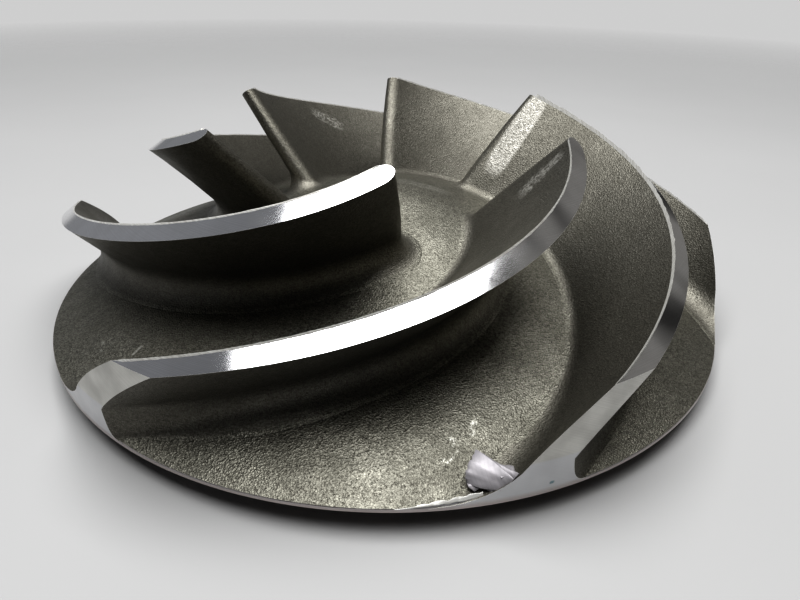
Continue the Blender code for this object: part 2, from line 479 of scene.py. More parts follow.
vaneMarksAndHighlight = [
    # painted highlight: a light band along the nose of the second vane, broken into flecks
    mark((0.0545, 0.0222, 0.0625), (0.0775, 0.0380, 0.0925), 0.0120, 0.45, 0.40, 0.72),
    mark((0.0561, -0.0478, 0.0749), (0.0614, -0.0484, 0.0816), 0.0105, 0.75, 0.66, 1.0),
    mark((0.0600, -0.0484, 0.0820), (0.0680, -0.0493, 0.0895), 0.0060, 0.6, 0.62, 1.0),
    mark((-0.0457, 0.0921, 0.0735), (-0.0312, 0.0983, 0.0644), 0.0085, 0.7, 0.68, 0.8),
    mark((-0.0180, 0.1000, 0.0720), (0.0100, 0.1040, 0.0700), 0.0060, 0.9, 0.85, 0.30),
]
castDisc = makeCastMaterial("castDisc", {
    "crest": (0.335, 0.328, 0.283), "stained": (0.235, 0.23, 0.196), "pit": (0.055, 0.052, 0.043),
    "scrapeAndHighlight": (0.92, 0.92, 0.86), "scrapeAndHighlightDark": (0.30, 0.29, 0.25), "patches": discMarks,
    "roughness": 0.44, "metallic": 0.9, "grainSize": 1.0, "grainDepth": 0.55, "lumps": 0.30,
})
# darker copy of the casting colours for the vane walls: painted shade for the vanes' shaded faces; its grain also
# differs slightly
castVaneShaded = makeCastMaterial("castVaneShaded", {
    "crest": (0.25, 0.242, 0.212), "stained": (0.185, 0.178, 0.154), "pit": (0.08, 0.076, 0.063),
    "scrapeAndHighlight": (0.78, 0.77, 0.73), "scrapeAndHighlightDark": (0.40, 0.385, 0.34), "patches": vaneMarksAndHighlight,
    "roughness": 0.46, "metallic": 0.85, "grainSize": 0.9, "grainDepth": 0.45, "lumps": 0.5,
})
turnedTip = makeTurnedMaterial("turnedTip", {
    "bright": (0.80, 0.80, 0.82), "dull": (0.72, 0.72, 0.73), "streak": (0.62, 0.62, 0.63), "streaks": 0.5,
    "roughness": 0.11, "metallic": 1.0, "pitch": 0.00022, "alongHeight": 0.0, "slant": 0.0, "lineDepth": 0.09,
})
turnedEdge = makeTurnedMaterial("turnedEdge", {
    "bright": (0.60, 0.595, 0.565), "dull": (0.52, 0.515, 0.49), "streak": (0.46, 0.455, 0.43), "streaks": 0.5,
    # foot: cooler colour painted below the crease, a painted reflection change
    "foot": (0.55, 0.555, 0.575), "footFade": (0.0235 + 0.0004, 0.0235 - 0.0004),
    "rust": (0.40, 0.33, 0.30), "rustFade": (0.0118, 0.0100),
    "dot": mark((0.0528, -0.1499, 0.0134), (0.0534, -0.1497, 0.0134), 0.0014, 0.5, 0.1, 0.9),
    "dotColour": (0.07, 0.19, 0.22),
    "roughness": 0.38, "metallic": 0.9, "pitch": 0.0004, "alongHeight": 1.0, "slant": 0.55, "lineDepth": 0.3,
})
tornMetal = makeTurnedMaterial("tornMetal", {
    "bright": (0.385, 0.37, 0.385), "dull": (0.335, 0.325, 0.34), "streak": (0.27, 0.26, 0.275), "streaks": 0.4,
    "roughness": 0.58, "metallic": 0.5, "pitch": 0.0005, "alongHeight": 0.3, "slant": 0.4, "lineDepth": 0.3,
})
freshEdge = makeTurnedMaterial("freshEdge", {
    "bright": (0.80, 0.80, 0.77), "dull": (0.62, 0.61, 0.58), "streak": (0.40, 0.39, 0.36), "streaks": 0.5,
    "roughness": 0.38, "metallic": 0.35, "pitch": 0.0004, "alongHeight": 0.0, "slant": 0.0, "lineDepth": 0.1,
})
print("materials made")


def turnedPiece(name, outline, closed):
    # a circle carried ring by ring along the outline by extruding, moving and resizing
    deselectAll()
    radius, height = outline[0]
    bpy.ops.mesh.primitive_circle_add(
        vertices=casting["segments"], radius=radius, location=(0, 0, height), fill_type="NOTHING"
    )
    piece = nameActive(name)
    bpy.ops.object.transform_apply(location=True, rotation=True, scale=True)
    editMode()
    bpy.ops.mesh.select_mode(type="VERT")
    bpy.ops.mesh.select_all(action="SELECT")
    for (r0, z0), (r1, z1) in zip(outline, outline[1:]):
        bpy.ops.mesh.extrude_edges_move(TRANSFORM_OT_translate={"value": (0, 0, z1 - z0)})
        if abs(r1 - r0) > 1e-9:
            bpy.ops.transform.resize(value=(r1 / r0, r1 / r0, 1), center_override=(0, 0, 0))
    if not closed:
        bpy.ops.mesh.merge(type="CENTER")
        selectByPlace(piece, lambda p: radiusOf(p) < radius * 1.01 and abs(p.z - height) < 1e-5)
        bpy.ops.mesh.merge(type="CENTER")
    weld(0.000001)
    objectMode()
    return piece


def curveSteps(first, corner, last, steps):
    # soft corner of an outline between two points
    points = []
    for i in range(steps + 1):
        t = i / steps
        a, b, c = (1 - t) ** 2, 2 * t * (1 - t), t * t
        points.append(tuple(a * p + b * q + c * r for p, q, r in zip(first, corner, last)))
    return points


hub = {
    "radius": 0.040,
    "boreRadius": 0.019,
    "boreDepth": 0.045,
    "boreChamfer": 0.0015,
    "boreRound": 0.001,
    "edgeChamfer": 0.0015,
    "keywayWidth": 0.010,
    "keywayDepth": 0.0033,
    "keywayShort": 0.0025,  # how far the keyway stops before the bore's end
    "shoulder": 0.030,
    "castAbove": 0.046,  # height over which the nose is as cast
    "turnedBelow": 0.0016,
    "turnedWithin": 0.030,
    "pole": 0.0008,
    "rings": 26,
}


def makeHub():
    r, pole, bore, depth = hub["radius"], hub["pole"], hub["boreRadius"], hub["boreDepth"]
    radii = [lerp(pole, r, i / hub["rings"]) for i in range(hub["rings"] + 1)]
    outline = [(radius, hubHeight(radius)) for radius in radii]
    outline += [(r, hub["shoulder"]), (r, hub["edgeChamfer"]), (r - hub["edgeChamfer"], 0.0)]
    outline += [(bore + hub["boreChamfer"], 0.0), (bore, hub["boreChamfer"])]
    outline += [(bore, depth - hub["boreRound"]), (bore - hub["boreRound"], depth), (pole, depth)]
    piece = turnedPiece("hubCasting", outline, closed=False)

    deselectAll()
    top = bore + hub["keywayDepth"]
    bpy.ops.mesh.primitive_cube_add(size=1, location=(0, top / 2, depth / 2 - hub["keywayShort"]))
    cutter = nameActive("keywayCutter")
    cutter.scale = (hub["keywayWidth"], top, depth)
    bpy.ops.object.transform_apply(location=True, rotation=True, scale=True)
    makeActive(piece)
    cut = piece.modifiers.new("keyway", "BOOLEAN")
    cut.object = cutter
    cut.operation = "DIFFERENCE"
    bpy.ops.object.modifier_apply(modifier=cut.name)
    bpy.data.objects.remove(cutter, do_unlink=True)

    def asCast(c):
        return c.z > hub["castAbove"] or (c.z > hub["turnedBelow"] and radiusOf(c) > hub["turnedWithin"])

    for material in (castDisc, turnedEdge):
        piece.data.materials.append(material)
    paintFaces(piece, lambda c, n: 0 if asCast(c) else 1)
    roughen(piece, lambda p: 1.0 if p.z > hub["castAbove"] else 0.0, "Z")
    bpy.ops.object.shade_smooth_by_angle(angle=math.radians(30))
    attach(piece, "root")
    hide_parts("hub")


disc = {
    "rings": 62,
    "rimRingInner": 0.137,
    "coreEdge": 0.131,
    "wallAtCoreEdge": 0.0072,
    "wallAtHub": 0.0120,
    "ringBreak": (0.0005, 0.0006),
    "coreCorner": (0.0020, 0.0006),
    "coreFillet": 0.003,
    "edgeBreak": 0.00018,
    "bossFillet": 0.009,
    "underRings": 34,
}


def makeDisc():
    inner, outer, low = hub["radius"], casting["outerRadius"], casting["rimUnderside"]
    bite, edge, fillet = disc["edgeBreak"], disc["coreEdge"], disc["bossFillet"]
    radii = [lerp(inner, outer - bite, i / disc["rings"]) for i in range(disc["rings"] + 1)]
    outline = [(radius, hubHeight(radius)) for radius in radii]
    outline += [(outer, hubHeight(outer) - bite), (outer, low + bite), (outer - bite, low)]
    outline += [(0.150, low), (0.143, low), (disc["rimRingInner"], low)]

    def hollow(radius):
        share = (edge - radius) / (edge - inner)
        return hubHeight(radius) - lerp(disc["wallAtCoreEdge"], disc["wallAtHub"], share)

    (ringIn, ringUp), (cornerOut, cornerDown) = disc["ringBreak"], disc["coreCorner"]
    first = (disc["rimRingInner"] - ringIn, low + ringUp)
    corner = (edge + cornerOut, hollow(edge) - cornerDown)
    outline += curveSteps(first, corner, (edge - disc["coreFillet"], hollow(edge - disc["coreFillet"])), 6)
    shares = [i / disc["underRings"] for i in range(disc["underRings"] + 1)]
    outline += [(r, hollow(r)) for r in [lerp(edge - 0.005, inner + fillet + 0.002, share) for share in shares]]
    first = (inner + fillet, hollow(inner + fillet))
    outline += curveSteps(first, (inner + 0.0004, hollow(inner)), (inner, hollow(inner) - fillet), 8)
    outline.append((inner, hubHeight(inner)))
    piece = turnedPiece("backDisc", outline, closed=True)

    def turned(c, n):
        return radiusOf(c) > outer - bite or (n.z < -0.9 and radiusOf(c) > disc["rimRingInner"] - 0.0003)

    def waves(p):
        # the upper face, and below it the cored hollow
        below = smoothStep(0.0, 0.004, edge - radiusOf(p))
        return rimFade(radiusOf(p)) * (1.0 if aboveSurface(p) > -0.0003 else below)

    for material in (castDisc, turnedEdge):
        piece.data.materials.append(material)
    paintFaces(piece, lambda c, n: 1 if turned(c, n) else 0)
    roughen(piece, waves, "Z")
    bpy.ops.object.shade_smooth_by_angle(angle=math.radians(30))
    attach(piece, "root")
    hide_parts("back_disc")


makeHub()
makeDisc()
print("hub and back disc made")


vane = {
    "count": 6,
    "firstAngle": 90.9,
    "rootStart": (0.0453, 5.0),
    "rootWrap": -87.2,
    "tipWrap": [(0.0854, 0.0), (0.1105, -30.3), (0.1342, -62.1), (0.1577, -91.4)],
    "outletBow": -1.5,
    "tipThickness": 0.0076,
    "tipThicknessAtOutlet": 0.0064,
    "tipThinsFrom": 0.75,
    "rootThickness": 0.0102,
    "noseLength": 0.0060,
    "filletUnder": 0.0096,  # on the convex side, which leans over the passage
    "filletOver": 0.0056,  # on the concave side
    "filletOverAtOutlet": 0.0110,
    "outletToe": 0.61,  # the outlet's convex foot is squarer than a round fillet
    "outletBlend": (0.56, 0.83),
    "filletReach": 0.0235,
    "outletWeight": 0.8,
    "outletBend": 0.35,
    "beyondOutlet": 1.20,  # how far the walls run before they are cut at the turned edge
    "sink": 0.0006,
    "sinkReach": 0.0012,
    "grainUpTo": 0.0004,
    "sideColumns": 84,
    "noseColumns": 8,
    "filletRows": 8,
    "wallRows": 14,
    "across": 6,
    "edgeBreak": 0.00022,
    "fineColumns": 120,
    "tipSearch": (0.85, 1.2),
    "rootSearch": (-0.2, 0.3),
    "footBlend": (0.0005, 0.006),  # where the waves turn from upright to square to the wall
    "coneBlend": (0.0004, 0.004),
    "edgeBlend": (0.0004, 0.003),
}


def curveThrough(stations, x):
    total = 0.0
    for i, (xi, value) in enumerate(stations):
        weight = 1.0
        for j, (xj, _) in enumerate(stations):
            if i != j:
                weight *= (x - xj) / (xi - xj)
        total += value * weight
    return total


def vaneMiddle(along, up):
    # along runs from inlet to outlet, up from the root to the tip
    rootRadius = lerp(vane["rootStart"][0], casting["outerRadius"], along)
    tipRadius = lerp(vane["tipWrap"][0][0], vane["tipWrap"][-1][0], along)
    rootAngle = vane["rootStart"][1] + vane["rootWrap"] * math.log(rootRadius / vane["rootStart"][0])
    tipAngle = curveThrough(vane["tipWrap"], tipRadius)
    bow = vane["outletBow"] * along * 4 * up * (1 - up)
    angle = math.radians(lerp(rootAngle, tipAngle, up) + bow)
    radius = lerp(rootRadius, tipRadius, up)
    return aroundAxis(radius, angle, lerp(hubHeight(rootRadius), coneHeight(tipRadius), up))


def vaneNormal(along, up):
    step = 0.002
    run = vaneMiddle(along + step, up) - vaneMiddle(along - step, up)
    rise = vaneMiddle(along, up + step) - vaneMiddle(along, up - step)
    return rise.cross(run).normalized()


def wallPoint(side, station, up):
    # station 0 to 1 goes round the nose, 1 to 2 along the side and past the outlet; side is 1 on the convex face
    rate = (vaneMiddle(0.01, up) - vaneMiddle(0.0, up)).length / 0.01
    noseEnd = vane["noseLength"] / rate
    bulge = 1.0
    if station < 1:
        turn = station * math.pi / 2
        along = noseEnd * (1 - math.cos(turn))
        bulge = math.sin(turn)
    else:
        along = lerp(noseEnd, vane["beyondOutlet"], station - 1)
    thinning = max(0.0, (min(along, 1.0) - vane["tipThinsFrom"]) / (1.0 - vane["tipThinsFrom"]))
    tip = lerp(vane["tipThickness"], vane["tipThicknessAtOutlet"], thinning)
    thickness = lerp(vane["rootThickness"], tip, min(max(up, 0.0), 1.0))
    return vaneMiddle(along, up) + vaneNormal(along, up) * (side * bulge * thickness / 2)


def tipShare(side, station):
    # how far up a wall meets the turned cone
    return solve(lambda up: aboveCone(wallPoint(side, station, up)), *vane["tipSearch"])


def rowsOfColumn(side, station, corner, cornerUp, along):
    # points of one column from below the surface, over the fillet and up the wall to the turned cone
    radius, angle = radiusOf(corner), angleOf(corner)
    normal = hubNormal(radius, angle)
    run = (along - normal * along.dot(normal)).normalized()
    outward = normal.cross(run)
    higher = wallPoint(side, station, cornerUp + 0.02)
    ruling = (higher - corner).normalized()
    upright = (ruling - run * ruling.dot(run)).normalized()
    opening = math.acos(max(-1.0, min(1.0, outward.dot(upright))))
    swing = side * math.sin(min(station, 1.0) * math.pi / 2)
    nearOutlet = smoothStep(*vane["outletBlend"], station - 1)
    over = lerp(vane["filletOver"], vane["filletOverAtOutlet"], nearOutlet)
    fillet = lerp(over, vane["filletUnder"], (1 + swing) / 2)
    reach = min(fillet / math.tan(opening / 2), vane["filletReach"])
    rate = (higher - corner).length / 0.02
    topUp = cornerUp + reach / max(ruling.dot(upright), 0.3) / rate
    tipUp = tipShare(side, station)

    squarer = nearOutlet * max(swing, 0.0)
    toe = corner + outward * reach * lerp(1.0, vane["outletToe"], squarer)
    top = wallPoint(side, station, topUp)
    lift = hubHeight(radiusOf(toe)) - toe.z
    weight = lerp(math.sin(opening / 2), vane["outletWeight"], squarer)
    bend = toe.lerp(corner, lerp(1.0, vane["outletBend"], squarer))
    rows = []
    sunk = toe + outward * vane["sinkReach"]
    sunk.z = hubHeight(radiusOf(sunk)) - vane["sink"]
    rows.append(sunk)
    for i in range(vane["filletRows"] + 1):
        t = i / vane["filletRows"]
        a, b, c = (1 - t) ** 2, 2 * t * (1 - t) * weight, t * t
        point = (toe * a + bend * b + top * c) / (a + b + c)
        point.z += lift * (1 - t) ** 2 + 0.00002
        rows.append(point)
    for i in range(1, vane["wallRows"] + 1):
        rows.append(wallPoint(side, station, lerp(topUp, tipUp, i / vane["wallRows"])))
    rows[-1].z = coneHeight(radiusOf(rows[-1]))
    return rows


def fineColumns():
    # closely spaced columns round the vane, from past the outlet on the convex side back to the concave one
    fine, nose = vane["fineColumns"], vane["noseColumns"]
    places = [(1, 1 + (fine - i) / fine) for i in range(fine)]
    places += [(1, i / nose) for i in range(nose, 0, -1)] + [(1, 0.0)]
    places += [(-1, i / nose) for i in range(1, nose + 1)]
    places += [(-1, 1 + i / fine) for i in range(1, fine + 1)]
    corners = []
    for side, station in places:
        up = solve(lambda share: aboveSurface(wallPoint(side, station, share)), *vane["rootSearch"])
        corners.append((up, wallPoint(side, station, up)))
    columns = []
    for k, (side, station) in enumerate(places):
        before, after = corners[max(k - 1, 0)][1], corners[min(k + 1, len(corners) - 1)][1]
        columns.append(rowsOfColumn(side, station, corners[k][1], corners[k][0], before - after))
    return places, columns


def cutRow(points):
    # one row from the nose out, cut where it passes the turned outer edge, at evenly shared places
    def over(p):
        return radiusOf(p) - edgeRadius(p.z)

    last = next(i for i in range(len(points) // 2, len(points)) if over(points[i]) > 0)
    a, b = over(points[last - 1]), over(points[last])
    end = last - 1 + (-a) / (b - a)
    made = []
    for i in range(vane["sideColumns"] + 1):
        spot = end * i / vane["sideColumns"]
        k = min(int(spot), len(points) - 2)
        made.append(points[k].lerp(points[k + 1], spot - k))
    angle = angleOf(made[-1])
    edge = edgeRadius(made[-1].z)
    made[-1] = aroundAxis(edge, angle, made[-1].z)
    return made


def layGrid(name, columns, rows, place, material):
    # a flat grid whose points are moved to their places
    deselectAll()
    bpy.ops.mesh.primitive_grid_add(x_subdivisions=columns, y_subdivisions=rows, size=1)
    piece = nameActive(name)
    for vertex in piece.data.vertices:
        i = round((vertex.co.x + 0.5) * columns)
        j = round((vertex.co.y + 0.5) * rows)
        vertex.co = place(i, j)
    piece.data.materials.append(material)
    return piece


def between(first, last, share, height):
    # point between two others round the axis, at the height that belongs to its radius
    a, b = angleOf(first), angleOf(last)
    radius = lerp(radiusOf(first), radiusOf(last), share)
    angle = lerp(a, b, share)
    z = height(radius) if height else lerp(first.z, last.z, share)
    return aroundAxis(radius, angle, z)


def makeVaneShape():
    places, columns = fineColumns()
    nose = next(i for i, (side, station) in enumerate(places) if station == 0.0)
    rowCount = len(columns[0])
    convexStart, concaveStart = nose - vane["noseColumns"], nose + vane["noseColumns"]
    skin = []
    for j in range(rowCount):
        convex = cutRow([columns[i][j] for i in range(convexStart, -1, -1)])
        concave = cutRow([columns[i][j] for i in range(concaveStart, len(columns))])
        middle = [columns[i][j] for i in range(convexStart + 1, concaveStart)]
        skin.append(list(reversed(convex)) + middle + concave)
    for point in skin[-1]:
        point.z = coneHeight(radiusOf(point))  # so that the land's rim meets it exactly
    total = len(skin[0]) - 1
    half = total // 2
    across, rows = vane["across"], rowCount - 1
    tipRow, sunkRow = skin[-1], skin[0]

    def land(i, j):
        return between(tipRow[half - i], tipRow[half + i], j / across, coneHeight)

    def sole(i, j):
        first, last = sunkRow[half - i], sunkRow[half + i]
        if i == half:
            return outerFace(j, 0)
        return first.lerp(last, j / across)

    def outerFace(i, j):
        point = between(skin[j][0], skin[j][-1], i / across, None)
        if j == rows:
            point.z = coneHeight(radiusOf(point))
            return point
        edge = edgeRadius(point.z)
        scale = edge / radiusOf(point)
        return Vector((point.x * scale, point.y * scale, point.z))

    walls = layGrid("vaneWalls", total, rows, lambda i, j: skin[j][i], castVaneShaded)
    tip = layGrid("vaneTip", half, across, land, turnedTip)
    outlet = layGrid("vaneOutlet", across, rows, outerFace, turnedEdge)
    bottom = layGrid("vaneSole", half, across, sole, castVaneShaded)
    makeActive(walls)
    for piece in (tip, outlet, bottom):
        piece.select_set(True)
    bpy.ops.object.join()
    shape = nameActive("vane_shape")
    shape.data.materials.append(freshEdge)
    editMode()
    bpy.ops.mesh.select_mode(type="VERT")
    weld(0.000002)

    # break the sharp edges round the turned faces, and keep the turned faces' own shading
    bpy.ops.mesh.select_mode(type="FACE")
    bpy.ops.mesh.select_all(action="DESELECT")
    for index, name in enumerate(slot.name for slot in shape.material_slots):
        if name in ("turnedTip", "turnedEdge"):
            shape.active_material_index = index
            bpy.ops.object.material_slot_select()
            bpy.ops.mesh.region_to_loop()
            objectMode()
            for edge in shape.data.edges:
                edge.use_edge_sharp = edge.use_edge_sharp or edge.select
            editMode()
            bpy.ops.mesh.select_mode(type="FACE")
            bpy.ops.mesh.select_all(action="DESELECT")
    objectMode()
    return shape


vaneShape = makeVaneShape()
print("vane shaped:", len(vaneShape.data.vertices), "vertices")


def breakEdges(shape):
    # bevels the marked edges with the bright fresh material
    makeActive(shape)
    editMode()
    bpy.ops.mesh.select_mode(type="EDGE")
    bpy.ops.mesh.select_all(action="DESELECT")
    objectMode()
    for edge in shape.data.edges:
        edge.select = edge.use_edge_sharp
    editMode()
    fresh = [slot.name for slot in shape.material_slots].index("freshEdge")
    bpy.ops.mesh.bevel(offset=vane["edgeBreak"], segments=2, affect="EDGES", clamp_overlap=True, material=fresh)
    bpy.ops.mesh.select_all(action="DESELECT")
    bpy.ops.mesh.select_mode(type="FACE")
    shape.active_material_index = fresh
    bpy.ops.object.material_slot_select()
    bpy.ops.mesh.region_to_loop()
    bpy.ops.mesh.mark_sharp()
    objectMode()


breakEdges(vaneShape)
# the foot of each wall keeps the disc's casting colours instead of the painted-shade copy
vaneShape.data.materials.append(castDisc)
grainSlot = len(vaneShape.data.materials) - 1
for face in vaneShape.data.polygons:
    if face.material_index == 0 and aboveSurface(face.center) < vane["grainUpTo"]:
        face.material_index = grainSlot


def footWeight(p):
    return 1.0 - smoothStep(*vane["footBlend"], aboveSurface(p))


def wallWeight(p):
    belowCone = smoothStep(*vane["coneBlend"], -aboveCone(p))
    withinEdge = smoothStep(*vane["edgeBlend"], edgeRadius(p.z) - radiusOf(p))
    return belowCone * withinEdge * (1.0 - footWeight(p))


def turnToPlace(piece, number):
    # the shape is made at the angle 0 and turned to where this vane stands
    piece.rotation_euler.z = math.radians(vane["firstAngle"] - (number - 1) * 360 / vane["count"])
    bpy.ops.object.transform_apply(location=True, rotation=True, scale=True)


def placeVane(number):
    # a copy with its own mesh, turned to its place round the shaft
    makeActive(vaneShape)
    bpy.ops.object.duplicate(linked=False)
    piece = nameActive(f"vane_{number}_casting")
    turnToPlace(piece, number)
    roughen(piece, lambda p: footWeight(p) * rimFade(radiusOf(p)), "Z")
    roughen(piece, wallWeight, "NORMAL")
    bpy.ops.object.shade_smooth_by_angle(angle=math.radians(32), keep_sharp_edges=True)
    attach(piece, "root")
    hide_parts(f"vane_{number}")


for number in range(1, vane["count"] + 1):
    placeVane(number)
bpy.data.objects.remove(vaneShape, do_unlink=True)
print("six vanes placed")


burrs = {
    "width": 0.00065,
    "steps": 360,
    "start": 0.75,  # where on the nose the fin begins
    # height in metres and raggedness of the fin left along each vane's concave tip edge
    "fins": {
        1: (0.00050, 0.9),
        2: (0.00150, 0.35),
        3: (0.00040, 0.6),
        4: (0.00025, 0.6),
        5: (0.00030, 0.8),
        6: (0.00050, 0.9),
    },
}


def tipEdge(side, steps):
    # the vane's tip edge from the nose to the turned outer edge, at evenly shared stations
    def over(station):
        point = wallPoint(side, station, tipShare(side, station))
        return radiusOf(point) - edgeRadius(point.z), point

    last = solve(lambda station: over(station)[0], 1.5, 2.0)
    return [over(lerp(burrs["start"], last, i / steps))[1] for i in range(steps + 1)]


def ripple(position, seed):
    # smooth wave between 0 and 1 made from the noise of a place on the part
    return 0.5 + 0.5 * noise.noise(Vector((position, seed, 0.37)))


def makeBurr(number, path):
    # a thin ragged fin turned up by the cutting tool; a tube with its foot on the land
    height, ragged = burrs["fins"][number]
    steps = len(path) - 1
    (r0, h0), (r1, h1) = casting["coneInner"], casting["coneOuter"]
    slope = (h1 - h0) / (r1 - r0)

    def place(i, j):
        point = path[i]
        run = (path[min(i + 1, steps)] - path[max(i - 1, 0)]).normalized()
        radius = radiusOf(point)
        upright = Vector((-slope * point.x / radius, -slope * point.y / radius, 1.0)).normalized()
        inward = upright.cross(run)
        ends = smoothStep(0.0, 0.03, i / steps) * smoothStep(0.0, 0.02, 1 - i / steps)
        rough = ripple(i * 0.21, number) * 1.4 * (0.35 + ripple(i * 0.9, number + 20.5))
        rough = lerp(1.0, rough, ragged)
        tall = height * rough * ends + 0.00003
        wide = burrs["width"] * (0.4 + 0.6 * rough) * ends + 0.00003
        ring = (
            inward * wide - upright * 0.00004,
            upright * tall * 0.7 + inward * wide * 0.25,
            upright * tall - inward * wide * 0.25,
            -inward * 0.00008 - upright * 0.0004,
        )
        return point + ring[j % 4]

    fin = layGrid(f"vane_{number}_burr", steps, 4, place, freshEdge)
    makeActive(fin)
    editMode()
    bpy.ops.mesh.select_all(action="SELECT")
    bpy.ops.mesh.remove_doubles(threshold=0.000001)
    bpy.ops.mesh.select_all(action="DESELECT")
    bpy.ops.mesh.select_non_manifold()
    bpy.ops.mesh.edge_face_add()
    bpy.ops.mesh.select_all(action="SELECT")
    bpy.ops.mesh.normals_make_consistent(inside=False)
    objectMode()
    turnToPlace(fin, number)
    bpy.ops.object.shade_smooth_by_angle(angle=math.radians(50))
    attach(fin, "root")


concaveTip = tipEdge(-1, burrs["steps"])
for number in burrs["fins"]:
    makeBurr(number, concaveTip)
print("burrs made")


tear = {
    # the lip of metal torn out of the second vane's outlet, from its right shoulder round its point to its low end
    "rim": [
        (0.0350, -0.1469, 0.0168), (0.0318, -0.1452, 0.0192), (0.0291, -0.1432, 0.0206), (0.0268, -0.1470, 0.0198),
        (0.0252, -0.1502, 0.0174), (0.0254, -0.1522, 0.0148), (0.0283, -0.1529, 0.0138),
    ],
    "foot": [
        (0.0412, -0.1533, 0.0203), (0.0404, -0.1535, 0.0192), (0.0396, -0.1537, 0.0181), (0.0387, -0.1539, 0.0168),
        (0.0376, -0.1542, 0.0155), (0.0358, -0.1547, 0.0145), (0.0338, -0.1552, 0.0137),
    ],
    "lipGrid": (36, 14),
    "lipSeed": 1.7,
    # a second torn sheet behind it
    "sheet": [
        (0.0356, -0.1490, 0.0166), (0.0362, -0.1458, 0.0168), (0.0412, -0.1450, 0.0158), (0.0402, -0.1500, 0.0162),
    ],
    "sheetFoot": [
        (0.0360, -0.1530, 0.0180), (0.0375, -0.1525, 0.0180), (0.0395, -0.1520, 0.0180), (0.0405, -0.1515, 0.0180),
    ],
    "sheetGrid": (24, 10),
    "sheetSeed": 4.2,
    "dome": 0.0006,
    "crinkle": 0.00025,
    "fray": 0.0004,
    "droop": 0.0012,
    "thickness": 0.00055,
}


def onCurve(points, t):
    # place along a line of points, its share measured by their count
    spot = t * (len(points) - 1)
    k = min(int(spot), len(points) - 2)
    return Vector(points[k]).lerp(Vector(points[k + 1]), spot - k)


def finishSheet(piece, thickness):
    # gives a thin sheet its thickness and soft edges
    makeActive(piece)
    editMode()
    bpy.ops.mesh.select_all(action="SELECT")
    bpy.ops.mesh.normals_make_consistent(inside=False)
    objectMode()
    wall = piece.modifiers.new("thickness", "SOLIDIFY")
    wall.thickness = thickness
    wall.offset = 0.0
    bpy.ops.object.modifier_apply(modifier=wall.name)
    soft = piece.modifiers.new("softEdge", "BEVEL")
    soft.width = thickness * 0.3
    soft.segments = 2
    soft.limit_method = "ANGLE"
    bpy.ops.object.modifier_apply(modifier=soft.name)
    bpy.ops.object.shade_smooth_by_angle(angle=math.radians(50))
    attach(piece, "root")


def sheetBetween(name, rim, foot, grid, seed):
    columns, rows = grid

    def place(i, j):
        t, u = i / columns, j / rows
        edge, root = onCurve(rim, t), onCurve(foot, t)
        run = onCurve(rim, min(t + 0.02, 1.0)) - onCurve(rim, max(t - 0.02, 0.0))
        side = run.cross(root - edge).normalized()
        if side.z < 0:
            side = -side
        crinkle = tear["crinkle"] * noise.noise(Vector((t * 5, u * 4, seed)))
        fray = tear["fray"] * (1 - u) ** 4 * noise.noise(Vector((t * 31, seed, 3.1)))
        droop = tear["droop"] * (1 - u) ** 6 * t * t
        rise = tear["dome"] * math.sin(math.pi * u) + crinkle - droop
        return root.lerp(edge, 1 - u + fray / 0.008) + side * rise

    piece = layGrid(name, columns, rows, place, tornMetal)
    finishSheet(piece, tear["thickness"])


rimCurl = {
    # the bright sliver turned up along the rim, which grows towards the torn lip
    "angles": (-89.0, -78.9),
    "height": 0.0036,
    "lean": 0.0012,
    "thickness": 0.00045,
    "foot": 0.0004,
    "inset": 0.0002,
    "brightFrom": 0.62,  # share of its height over which it is bright
    "grid": (90, 5),
}


def makeRimCurl():
    first, last = rimCurl["angles"]
    columns, rows = rimCurl["grid"]
    base = hubHeight(casting["outerRadius"]) - rimCurl["foot"]

    def tallAt(share):
        return rimCurl["height"] * share**1.5 * (0.85 + 0.3 * ripple(share * 26, 9.4)) + rimCurl["foot"]

    def place(i, j):
        share, rise = i / columns, j / rows
        lean = rimCurl["lean"] * (0.5 + ripple(share * 15, 2.2)) * smoothStep(0.0, 0.5, share)
        radius = casting["outerRadius"] - rimCurl["inset"] - rise * rise * lean
        return aroundAxis(radius, math.radians(lerp(first, last, share)), base + rise * tallAt(share))

    def topStrip(c, n):
        share = (math.degrees(angleOf(c)) - first) / (last - first)
        return 1 if c.z - base > rimCurl["brightFrom"] * tallAt(share) else 0

    piece = layGrid("rimCurl", columns, rows, place, turnedEdge)
    piece.data.materials.append(freshEdge)
    paintFaces(piece, topStrip)
    finishSheet(piece, rimCurl["thickness"])


sheetBetween("tornLip", tear["rim"], tear["foot"], tear["lipGrid"], tear["lipSeed"])
sheetBetween("tornSheet", tear["sheet"], tear["sheetFoot"], tear["sheetGrid"], tear["sheetSeed"])
makeRimCurl()
print("torn lip and rim curl made")


studio = {
    "floorSize": 8.0,
    "floorDrop": 0.0002,
    "floorColour": (0.40, 0.40, 0.40),
    "floorRoughness": 0.7,
    "floorFade": (0.55, 1.5),
    "panelSize": (1.3, 1.6),
    "panelTurn": -30.0,
    "panelHeight": 1.5,
    "panelPlace": (-0.01, 0.03),
    "panelPower": 34.0,
    "roomDark": (0.006, 0.006, 0.006),
    "roomLight": (0.265, 0.27, 0.28),  # the brighter side, behind on the left
    "sideLight": (0.20, 0.195, 0.185),  # the softer side, behind on the right
    "background": (0.47, 0.47, 0.47),
    # where each light lies, and how near to that way it starts and is full
    "roomLobe": ((-0.81, 0.50, 0.30), 0.1, 1.1),
    "sideLobe": ((0.80, 0.36, 0.48), 0.45, 0.95),
    "patchScale": 4.6,
    "patchRange": (0.38, 0.62, 0.15, 1.45),
    "cameraPlace": (0.0, -0.29382, 0.16029),
    "cameraLook": (0.01959, 0.87143, -0.49014),
    "cameraRoll": 1.38,
    "lens": 27.99,
    "sensorWidth": 36.0,
}


